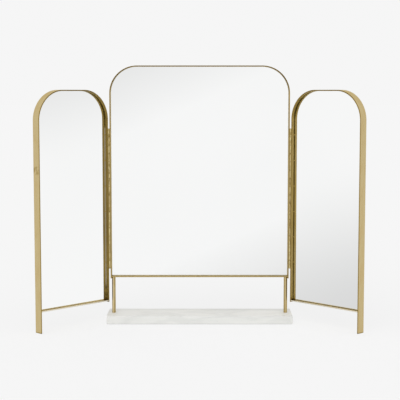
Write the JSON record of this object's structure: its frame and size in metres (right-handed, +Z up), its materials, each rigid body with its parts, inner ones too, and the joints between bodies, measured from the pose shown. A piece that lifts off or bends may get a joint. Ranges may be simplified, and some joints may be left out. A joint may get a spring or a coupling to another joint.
{
  "type": "trifold vanity mirror",
  "caption": "Free-standing folding vanity mirror: recessed mirrors in flat brass strap frames with rounded corners, wings on continuous hinges, posts on a stone slab.",
  "frame": {"origin": "middle of the underside of the base pad, on the surface that the mirror stands on", "axes": "+X to the viewer's right along the centre panel, +Y to the back (the mirrors look towards -Y), +Z up"},
  "size_m": [0.8928, 0.2405, 0.7274],
  "materials": {
    "brass": "satin brushed",
    "mirror": "silvered glass",
    "marble": "honed white marble",
    "backing_board": "painted fibreboard",
    "felt": "pressed felt",
    "foot_pad": "soft clear plastic",
    "steel": "zinc plated"
  },
  "bodies": {
    "stand": {"base_felt_pad": "felt", "centre_backing": "backing_board", "centre_bottom_bar": "brass", "centre_frame": "brass", "centre_mirror": "mirror", "centre_tab_screws": "steel", "centre_tabs": "steel", "left_hinge_centre_leaf": "brass", "left_hinge_centre_rivets": "brass", "left_hinge_pin": "brass", "left_post": "brass", "marble_base": "marble", "post_bolts": "steel", "post_washers": "steel", "right_hinge_centre_leaf": "brass", "right_hinge_centre_rivets": "brass", "right_hinge_pin": "brass", "right_post": "brass"},
    "left_wing": {"left_foot_pad": "foot_pad", "left_hinge_wing_leaf": "brass", "left_hinge_wing_rivets": "brass", "left_wing_backing": "backing_board", "left_wing_bottom_bar": "brass", "left_wing_frame": "brass", "left_wing_mirror": "mirror", "left_wing_tab_screws": "steel", "left_wing_tabs": "steel"},
    "right_wing": {"right_foot_pad": "foot_pad", "right_hinge_wing_leaf": "brass", "right_hinge_wing_rivets": "brass", "right_wing_backing": "backing_board", "right_wing_bottom_bar": "brass", "right_wing_frame": "brass", "right_wing_mirror": "mirror", "right_wing_tab_screws": "steel", "right_wing_tabs": "steel"}
  },
  "joints": [
    {"name": "left_wing_hinge", "type": "hinge", "parent": "stand", "child": "left_wing", "pos_m": [-0.2562, -0.0125, 0.35175], "axis": [0, 0, 1], "range_deg": [-52, 123]},
    {"name": "right_wing_hinge", "type": "hinge", "parent": "stand", "child": "right_wing", "pos_m": [0.2562, -0.0125, 0.35175], "axis": [0, 0, -1], "range_deg": [-52, 123]}
  ]
}
